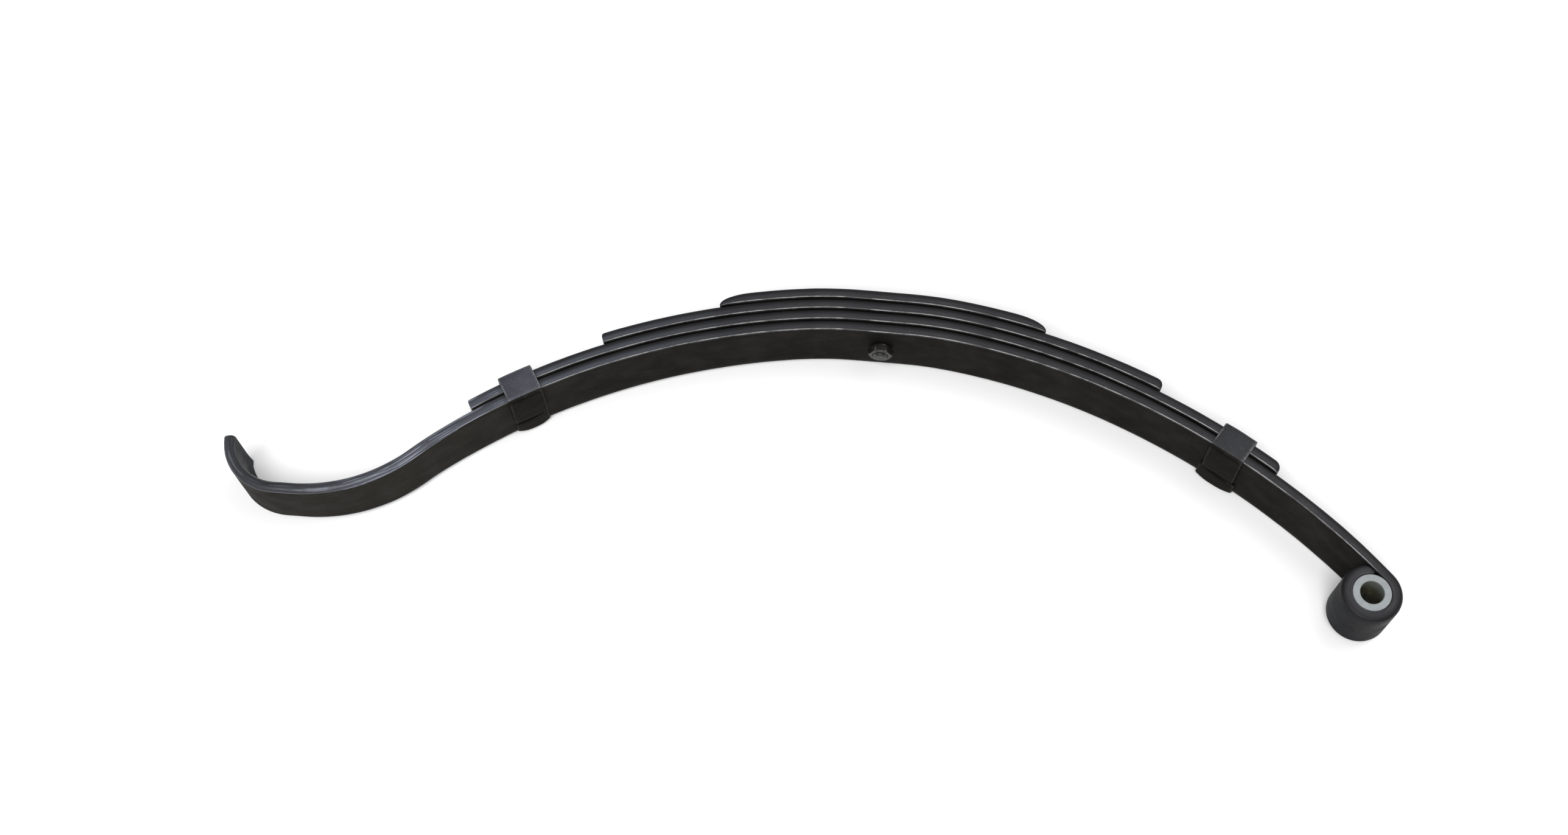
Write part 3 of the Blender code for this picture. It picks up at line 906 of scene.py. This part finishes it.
def paint(name, dark, tint, roughness, specular, edge_gain, scuff, along_leaf=False, pale=0.0,
          pale_run=(-0.330, -0.150)):
    """Worn black spring paint: mottled colour, grain, scuffs, rubbed corners and orange peel; on the leaves
    the rubbed corner line also carries a painted highlight.

    With along_leaf the paint also follows the leaf: its rolled convex corners carry painted shade, the
    slipper end is bluer and carries lengthwise painted highlight streaks, and the bright corner line,
    rubbed paint with a painted highlight, fades at both ends.
    With pale the paint is lighter up to the end of pale_run along the leaf.
    """
    n = Nodes(name)
    at = n.attribute("leaf_at")["Vector"]
    corner = n.attribute("corner")["Fac"]
    run = n.split(at)["X"]
    broad = n.noise(at, 28.0, 4.0, 0.55)
    cloud = n.noise(n.stretch(at, 0.7, 1.0, 1.0), 90.0, 5.0, 0.6)
    fine = n.noise(at, 900.0, 4.0, 0.6)
    grain = n.noise(n.stretch(at, 0.10, 1.6, 1.6), 620.0, 3.0, 0.6)
    speck = n.noise(at, 2300.0, 2.0, 0.5)

    base = n.mix(n.ramp(broad, 0.36, 0.64), dark, tint)
    dust = n.math("MULTIPLY", n.ramp(cloud, 0.50, 0.74), n.ramp(fine, 0.35, 0.70))
    base = n.mix(n.math("MULTIPLY", dust, scuff), base, tuple(0.35 * c + 0.03 for c in BARE_AND_GLINT))
    base = n.mix(n.math("MULTIPLY", n.ramp(speck, 0.40, 0.66), 0.35), base, tuple(1.9 * c for c in tint))
    # rubbed corners: worn paint; on the leaves' concave corners also a painted highlight line
    jagged = n.math("ADD", corner, n.math("MULTIPLY", n.math("SUBTRACT", fine, 0.5), 0.55))
    broken = n.ramp(n.noise(n.stretch(at, 0.35, 1.0, 1.0), 210.0, 5.0, 0.65), 0.36, 0.60, 0.20, 1.0)
    rubbed_and_glint = n.math("MULTIPLY", n.ramp(jagged, 0.42, 0.80), broken)
    rubbed_and_glint = n.math("MULTIPLY", rubbed_and_glint, edge_gain, clamp=True)
    rough = n.ramp(cloud, 0.30, 0.72, roughness - 0.07, roughness + 0.13)
    if pale:
        base = n.mix(n.ramp(run, pale_run[0], pale_run[1], pale, 0.0), base, tuple(2.6 * c for c in tint))
    if along_leaf:
        base, slipper, rub_and_glint_line = follow_leaf(n, run, base, grain, cloud)
        rough = n.math("SUBTRACT", rough, n.math("MULTIPLY", slipper, 0.08))
        rubbed_and_glint = n.math("MULTIPLY", rubbed_and_glint, rub_and_glint_line)
    n.link(n.mix(rubbed_and_glint, base, BARE_AND_GLINT), n.shader.inputs["Base Color"])

    rough = n.math("ADD", rough, n.math("MULTIPLY", n.math("SUBTRACT", fine, 0.5), 0.16))
    rough = n.math("SUBTRACT", rough, n.math("MULTIPLY", rubbed_and_glint, 0.06), clamp=True)
    n.link(rough, n.shader.inputs["Roughness"])
    n.link(n.math("MULTIPLY", rubbed_and_glint, 0.35), n.shader.inputs["Metallic"])
    n.shader.inputs["Specular IOR Level"].default_value = specular

    peel = n.bump(n.noise(at, 480.0, 3.0, 0.5), 0.35, 0.00012)
    scratch = n.bump(grain, 0.25, 0.00006, peel)
    pits = n.bump(n.ramp(speck, 0.30, 0.55), 0.30, 0.00007, scratch)
    n.link(pits, n.shader.inputs["Normal"])
    return n.material


def turned_paint(name, dark, tint, worn, roughness, scale):
    """Paint on small forged pieces, in their own object space."""
    n = Nodes(name)
    at = n.object_place()
    broad = n.noise(at, 120.0 * scale, 4.0, 0.6)
    fine = n.noise(at, 1300.0, 4.0, 0.6)
    chips = n.ramp(n.noise(at, 330.0 * scale, 5.0, 0.7), 0.56, 0.66)
    colour = n.mix(n.ramp(broad, 0.36, 0.66), dark, tint)
    colour = n.mix(n.math("MULTIPLY", chips, 0.75), colour, worn)
    n.link(colour, n.shader.inputs["Base Color"])
    n.link(n.ramp(fine, 0.3, 0.7, roughness - 0.08, roughness + 0.12), n.shader.inputs["Roughness"])
    n.link(n.math("MULTIPLY", chips, 0.5), n.shader.inputs["Metallic"])
    dents = n.bump(broad, 0.4, 0.0004)
    n.link(n.bump(fine, 0.3, 0.00008, dents), n.shader.inputs["Normal"])
    return n.material


def nylon():
    """Pale moulded nylon with a greasy, dark bore that also carries painted shade deeper inside, and faint
    turning marks on its end.
    """
    n = Nodes("nylon_detail")
    centred = n.tree.nodes.new("ShaderNodeMapping")
    centred.inputs["Location"].default_value = (-EYE_CENTRE.x, -EYE_CENTRE.y, 0.0)
    n.link(n.object_place(), centred.inputs["Vector"])
    at = centred.outputs["Vector"]
    axes = n.split(at)
    x2 = n.math("MULTIPLY", axes["X"], axes["X"])
    y2 = n.math("MULTIPLY", axes["Y"], axes["Y"])
    radius = n.math("SQRT", n.math("ADD", x2, y2))
    height = n.math("ABSOLUTE", axes["Z"])
    inside = n.ramp(radius, BORE_R + 0.00005, BORE_R + 0.0007, 1.0, 0.0)
    # the bore is darkened half as grease and half as painted shade that grows deeper into the bore
    deep_shade = n.ramp(height, HALF_W - 0.0150, HALF_W - 0.0004, 1.0, 0.0)
    grease_and_shade = n.math("MULTIPLY", inside, n.math("ADD", n.math("MULTIPLY", deep_shade, 0.5), 0.5))
    cloud = n.noise(at, 260.0, 5.0, 0.6)
    fine = n.noise(at, 1500.0, 3.0, 0.6)
    pale = n.mix(n.ramp(cloud, 0.35, 0.68), (0.238, 0.258, 0.268), (0.200, 0.217, 0.224))
    rim = n.ramp(radius, BUSH_R - 0.0009, BUSH_R, 0.0, 1.0)
    pale = n.mix(n.math("MULTIPLY", rim, 0.55), pale, (0.13, 0.135, 0.14))
    dark = n.mix(n.ramp(cloud, 0.3, 0.7), (0.030, 0.030, 0.014), (0.085, 0.085, 0.050))
    n.link(n.mix(grease_and_shade, pale, dark), n.shader.inputs["Base Color"])
    n.link(n.ramp(fine, 0.3, 0.7, 0.38, 0.55), n.shader.inputs["Roughness"])
    n.shader.inputs["Subsurface Weight"].default_value = 0.08
    n.shader.inputs["Subsurface Scale"].default_value = 0.002
    rings = n.math("SINE", n.math("MULTIPLY", radius, 14000.0))
    marks = n.bump(rings, 0.10, 0.00003)
    n.link(n.bump(fine, 0.25, 0.00006, marks), n.shader.inputs["Normal"])
    return n.material


def floor_material():
    """Matt, nearly white floor with a faint cloudiness."""
    n = Nodes("floor")
    at = n.object_place()
    cloud = n.noise(at, 2.0, 3.0, 0.5)
    n.link(n.mix(cloud, (0.90, 0.90, 0.90), (0.92, 0.92, 0.92)), n.shader.inputs["Base Color"])
    n.shader.inputs["Roughness"].default_value = 0.9
    n.shader.inputs["Specular IOR Level"].default_value = 0.1
    return n.material


# ---------------------------------------------------------------- assembly
def dress(item, node, materials, body=None):
    """Put a piece in place of its node, on its body; without one its transform is baked into the mesh and
    it stays where it is built.
    """
    for each in materials:
        item.data.materials.append(each)
    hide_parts(node)
    if body is None:
        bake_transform(item)
    else:
        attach(item, body)


face_paint = paint("paint_concave", (0.0042, 0.0038, 0.0030), (0.0090, 0.0082, 0.0067),
                   0.58, 0.03, 0.3, 0.06, pale=0.55)
edge_paint = paint("paint_edge", (0.015, 0.015, 0.0175), (0.031, 0.031, 0.035),
                   0.44, 0.22, 1.1, 0.30, along_leaf=True)
back_paint = paint("paint_convex", (0.0045, 0.0046, 0.0055), (0.0100, 0.0104, 0.0120),
                   0.52, 0.050, 0.8, 0.20, pale=0.50, pale_run=(0.285, 0.335))
hook_clip_paint = paint("paint_hook_clip", (0.022, 0.0230, 0.0310), (0.046, 0.0475, 0.0590),
                        0.46, 0.26, 0.60, 0.35)
eye_clip_paint = paint("paint_eye_clip", (0.0105, 0.0110, 0.0130), (0.0205, 0.0210, 0.0240),
                       0.48, 0.20, 0.55, 0.35)
# darker copy of the clip paint for the tabs: painted shade
shaded_tab_paint = paint("paint_tab_shaded", (0.0036, 0.0032, 0.0026), (0.0084, 0.0077, 0.0064),
                  0.60, 0.03, 0.10, 0.06)
bolt_paint = turned_paint("bolt_detail", (0.0050, 0.0048, 0.0045), (0.015, 0.0142, 0.0125),
                          (0.15, 0.14, 0.12), 0.42, 1.0)
nut_paint = turned_paint("nut_detail", (0.0034, 0.0032, 0.0030), (0.0090, 0.0085, 0.0075),
                         (0.13, 0.12, 0.10), 0.42, 1.3)
rivet_paint = turned_paint("rivet_detail", (0.010, 0.011, 0.013), (0.026, 0.027, 0.030),
                           (0.17, 0.17, 0.17), 0.33, 1.0)

bolt_hole = (0.0, BOLT_HOLE_R)
leaf_2_holes = [(HOOK_CLIP_S, RIVET_R), bolt_hole, (EYE_CLIP_S, RIVET_R)]
leaves = {
    "main_leaf": main_leaf(),
    "leaf_2": short_leaf("leaf_2_detail", LEAF_2_ENDS, 1, 11, (0.0014, 0.0052), leaf_2_holes),
    "leaf_3": short_leaf("leaf_3_detail", LEAF_3_ENDS, 2, 23, (0.0020, 0.0045), [bolt_hole]),
    "leaf_4": thinned_leaf("leaf_4_detail", LEAF_4_ENDS, 3, 37, LEAF_4_TAPER, LEAF_4_TIP_T, [bolt_hole]),
}
for node, leaf in leaves.items():
    dress(leaf, node, (face_paint, edge_paint, back_paint))

hook_clip = clip("hook_clip_detail", HOOK_CLIP_S, 5, bulge=0.0, skew=0.10, wedge=0.08, thin=1.0, pinch=0.72)
eye_clip = clip("eye_clip_detail", EYE_CLIP_S, 9, bulge=0.0012, skew=-0.07, wedge=-0.08, thin=0.72,
                pinch=0.62, flare=0.16, rub=0.62)
dress(hook_clip, "hook_clip", (hook_clip_paint, shaded_tab_paint), "slipper_side")
dress(eye_clip, "eye_clip", (eye_clip_paint, shaded_tab_paint), "eye_side")
for node, s, seed, body in (("hook_clip_rivet", HOOK_CLIP_S, 2.0, "slipper_side"),
                            ("eye_clip_rivet", EYE_CLIP_S, 5.0, "eye_side")):
    dress(rivet(node + "_detail", s, seed), node, (rivet_paint,), body)
dress(centre_bolt(), "centre_bolt", (bolt_paint,), "centre")
dress(centre_nut(), "centre_nut", (nut_paint,), "centre")
dress(bushing(), "eye_bushing", (nylon(),), "bushing")

# ---------------------------------------------------------------- floor, light and camera
FLOOR_Z = cad_box[0][2] - 0.0002
bpy.ops.mesh.primitive_plane_add(size=12.0, location=(0.0, 0.0, FLOOR_Z))
floor = bpy.context.object
floor.name = "floor"
floor.data.materials.append(floor_material())


def area_light(name, location, target, size, power):
    """Soft rectangular light turned towards its target."""
    data = bpy.data.lights.new(name, "AREA")
    data.shape = "RECTANGLE"
    data.size = size[0]
    data.size_y = size[1]
    data.energy = power
    item = bpy.data.objects.new(name, data)
    bpy.context.scene.collection.objects.link(item)
    item.location = location
    item.rotation_euler = (Vector(target) - Vector(location)).to_track_quat("-Z", "Y").to_euler()


area_light("key", (-0.3, -1.3, 2.4), (0.0, -0.1, 0.0), (1.6, 1.2), 62.0)
area_light("fill", (1.2, 0.8, 2.6), (0.0, 0.0, 0.0), (2.2, 2.2), 34.0)
world = bpy.data.worlds.new("studio")
world.use_nodes = True
world.node_tree.nodes["Background"].inputs["Color"].default_value = (1.0, 1.0, 1.0, 1.0)
world.node_tree.nodes["Background"].inputs["Strength"].default_value = 0.45
bpy.context.scene.world = world
bpy.context.scene.view_settings.view_transform = "Standard"
bpy.context.scene.view_settings.look = "None"

CAMERA_AT = Vector((0.0126, -0.6004, 1.1226))
CAMERA_PAN = math.radians(-8.033)
CAMERA_TILT = math.radians(65.512)
CAMERA_ROLL = math.radians(-2.342)
camera_data = bpy.data.cameras.new("camera")
camera_data.sensor_width = 36.0
camera_data.lens = 43.32
camera_data.clip_start = 0.05
camera = bpy.data.objects.new("camera", camera_data)
bpy.context.scene.collection.objects.link(camera)
forward = Vector((math.sin(CAMERA_PAN) * math.cos(CAMERA_TILT),
                  math.cos(CAMERA_PAN) * math.cos(CAMERA_TILT), -math.sin(CAMERA_TILT)))
right = Vector((math.cos(CAMERA_PAN), -math.sin(CAMERA_PAN), 0.0))
up = right.cross(forward)
camera_right = right * math.cos(CAMERA_ROLL) + up * math.sin(CAMERA_ROLL)
camera_up = up * math.cos(CAMERA_ROLL) - right * math.sin(CAMERA_ROLL)
camera.matrix_world = Matrix((
    (camera_right.x, camera_up.x, -forward.x, CAMERA_AT.x),
    (camera_right.y, camera_up.y, -forward.y, CAMERA_AT.y),
    (camera_right.z, camera_up.z, -forward.z, CAMERA_AT.z),
    (0.0, 0.0, 0.0, 1.0)))
bpy.context.scene.camera = camera
